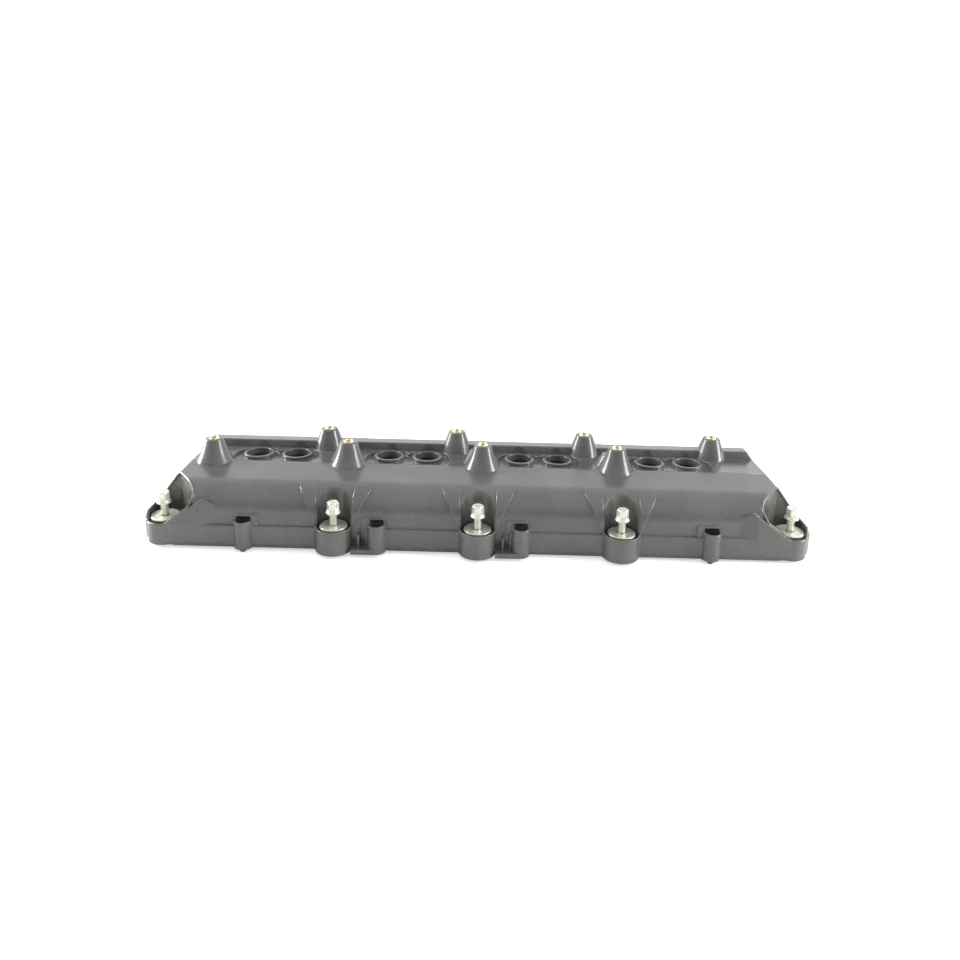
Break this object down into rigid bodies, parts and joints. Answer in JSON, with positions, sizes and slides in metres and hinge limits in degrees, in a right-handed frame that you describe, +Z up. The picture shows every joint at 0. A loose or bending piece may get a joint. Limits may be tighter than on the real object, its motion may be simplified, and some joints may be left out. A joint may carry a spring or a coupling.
{
  "type": "engine valve cover",
  "caption": "Moulded engine valve cover with ringed plug holes, conical coil bosses, a sealing gasket and captive flanged bolts that lift and turn.",
  "frame": {"origin": "middle of the cover, on the plane that its locating pins and raised bolts stand on", "axes": "+X along the cylinder bank, +Y towards the raised ridge, +Z up out of the engine"},
  "size_m": [0.537, 0.1802, 0.0731],
  "materials": {
    "cover_plastic": "black moulded glass-filled nylon, satin",
    "gasket_rubber": "black moulded rubber",
    "isolator_rubber": "black soft rubber",
    "seal_rubber": "dark brown-black rubber",
    "insert_brass": "turned brass",
    "bolt_zinc": "zinc-plated steel, faintly yellow",
    "sleeve_zinc": "zinc-plated steel",
    "pin_steel": "black oxide steel",
    "retainer_nylon": "natural nylon"
  },
  "bodies": {
    "root": {"cover_shell": "cover_plastic", "perimeter_gasket": "gasket_rubber", "locating_pins": "pin_steel", "plug_tube_seal_1": "seal_rubber", "coil_insert_1": "insert_brass", "plug_tube_seal_2": "seal_rubber", "coil_insert_2": "insert_brass", "plug_tube_seal_3": "seal_rubber", "coil_insert_3": "insert_brass", "plug_tube_seal_4": "seal_rubber", "coil_insert_4": "insert_brass", "plug_tube_seal_5": "seal_rubber", "coil_insert_5": "insert_brass", "plug_tube_seal_6": "seal_rubber", "coil_insert_6": "insert_brass", "plug_tube_seal_7": "seal_rubber", "coil_insert_7": "insert_brass", "plug_tube_seal_8": "seal_rubber", "coil_insert_8": "insert_brass", "isolator_grommet_1": "isolator_rubber", "bolt_sleeve_1": "sleeve_zinc", "isolator_grommet_2": "isolator_rubber", "bolt_sleeve_2": "sleeve_zinc", "isolator_grommet_3": "isolator_rubber", "bolt_sleeve_3": "sleeve_zinc", "isolator_grommet_4": "isolator_rubber", "bolt_sleeve_4": "sleeve_zinc", "isolator_grommet_5": "isolator_rubber", "bolt_sleeve_5": "sleeve_zinc", "isolator_grommet_6": "isolator_rubber", "bolt_sleeve_6": "sleeve_zinc", "isolator_grommet_7": "isolator_rubber", "bolt_sleeve_7": "sleeve_zinc", "isolator_grommet_8": "isolator_rubber", "bolt_sleeve_8": "sleeve_zinc", "isolator_grommet_9": "isolator_rubber", "bolt_sleeve_9": "sleeve_zinc", "isolator_grommet_10": "isolator_rubber", "bolt_sleeve_10": "sleeve_zinc"},
    "retainer_1": {"bolt_retainer_1": "retainer_nylon"},
    "bolt_1": {"captive_bolt_1": "bolt_zinc"},
    "retainer_2": {"bolt_retainer_2": "retainer_nylon"},
    "bolt_2": {"captive_bolt_2": "bolt_zinc"},
    "retainer_3": {"bolt_retainer_3": "retainer_nylon"},
    "bolt_3": {"captive_bolt_3": "bolt_zinc"},
    "retainer_4": {"bolt_retainer_4": "retainer_nylon"},
    "bolt_4": {"captive_bolt_4": "bolt_zinc"},
    "retainer_5": {"bolt_retainer_5": "retainer_nylon"},
    "bolt_5": {"captive_bolt_5": "bolt_zinc"},
    "retainer_6": {"bolt_retainer_6": "retainer_nylon"},
    "bolt_6": {"captive_bolt_6": "bolt_zinc"},
    "retainer_7": {"bolt_retainer_7": "retainer_nylon"},
    "bolt_7": {"captive_bolt_7": "bolt_zinc"},
    "retainer_8": {"bolt_retainer_8": "retainer_nylon"},
    "bolt_8": {"captive_bolt_8": "bolt_zinc"},
    "retainer_9": {"bolt_retainer_9": "retainer_nylon"},
    "bolt_9": {"captive_bolt_9": "bolt_zinc"},
    "retainer_10": {"bolt_retainer_10": "retainer_nylon"},
    "bolt_10": {"captive_bolt_10": "bolt_zinc"}
  },
  "joints": [
    {"name": "bolt_1_lift", "type": "slide", "parent": "root", "child": "retainer_1", "axis": [0, 0, 1], "range_m": [-0.0097, 0.0024]},
    {"name": "bolt_1_turn", "type": "hinge", "parent": "retainer_1", "child": "bolt_1", "pos_m": [-0.2502, -0.0644, 0.03], "axis": [0, 0, 1], "continuous": true},
    {"name": "bolt_2_lift", "type": "slide", "parent": "root", "child": "retainer_2", "axis": [0, 0, 1], "range_m": [-0.0097, 0.0024]},
    {"name": "bolt_2_turn", "type": "hinge", "parent": "retainer_2", "child": "bolt_2", "pos_m": [-0.1133, -0.0757, 0.03], "axis": [0, 0, 1], "continuous": true},
    {"name": "bolt_3_lift", "type": "slide", "parent": "root", "child": "retainer_3", "axis": [0, 0, 1], "range_m": [-0.0097, 0.0024]},
    {"name": "bolt_3_turn", "type": "hinge", "parent": "retainer_3", "child": "bolt_3", "pos_m": [0, -0.0757, 0.03], "axis": [0, 0, 1], "continuous": true},
    {"name": "bolt_4_lift", "type": "slide", "parent": "root", "child": "retainer_4", "axis": [0, 0, 1], "range_m": [-0.0097, 0.0024]},
    {"name": "bolt_4_turn", "type": "hinge", "parent": "retainer_4", "child": "bolt_4", "pos_m": [0.1133, -0.0757, 0.03], "axis": [0, 0, 1], "continuous": true},
    {"name": "bolt_5_lift", "type": "slide", "parent": "root", "child": "retainer_5", "axis": [0, 0, 1], "range_m": [-0.0097, 0.0024]},
    {"name": "bolt_5_turn", "type": "hinge", "parent": "retainer_5", "child": "bolt_5", "pos_m": [0.2502, -0.0644, 0.03], "axis": [0, 0, 1], "continuous": true},
    {"name": "bolt_6_lift", "type": "slide", "parent": "root", "child": "retainer_6", "axis": [0, 0, 1], "range_m": [-0.0097, 0.0024]},
    {"name": "bolt_6_turn", "type": "hinge", "parent": "retainer_6", "child": "bolt_6", "pos_m": [-0.2502, 0.0644, 0.03], "axis": [0, 0, 1], "continuous": true},
    {"name": "bolt_7_lift", "type": "slide", "parent": "root", "child": "retainer_7", "axis": [0, 0, 1], "range_m": [-0.0097, 0.0024]},
    {"name": "bolt_7_turn", "type": "hinge", "parent": "retainer_7", "child": "bolt_7", "pos_m": [-0.1133, 0.0757, 0.03], "axis": [0, 0, 1], "continuous": true},
    {"name": "bolt_8_lift", "type": "slide", "parent": "root", "child": "retainer_8", "axis": [0, 0, 1], "range_m": [-0.0097, 0.0024]},
    {"name": "bolt_8_turn", "type": "hinge", "parent": "retainer_8", "child": "bolt_8", "pos_m": [0, 0.0757, 0.03], "axis": [0, 0, 1], "continuous": true},
    {"name": "bolt_9_lift", "type": "slide", "parent": "root", "child": "retainer_9", "axis": [0, 0, 1], "range_m": [-0.0097, 0.0024]},
    {"name": "bolt_9_turn", "type": "hinge", "parent": "retainer_9", "child": "bolt_9", "pos_m": [0.1133, 0.0757, 0.03], "axis": [0, 0, 1], "continuous": true},
    {"name": "bolt_10_lift", "type": "slide", "parent": "root", "child": "retainer_10", "axis": [0, 0, 1], "range_m": [-0.0097, 0.0024]},
    {"name": "bolt_10_turn", "type": "hinge", "parent": "retainer_10", "child": "bolt_10", "pos_m": [0.2502, 0.0644, 0.03], "axis": [0, 0, 1], "continuous": true}
  ]
}
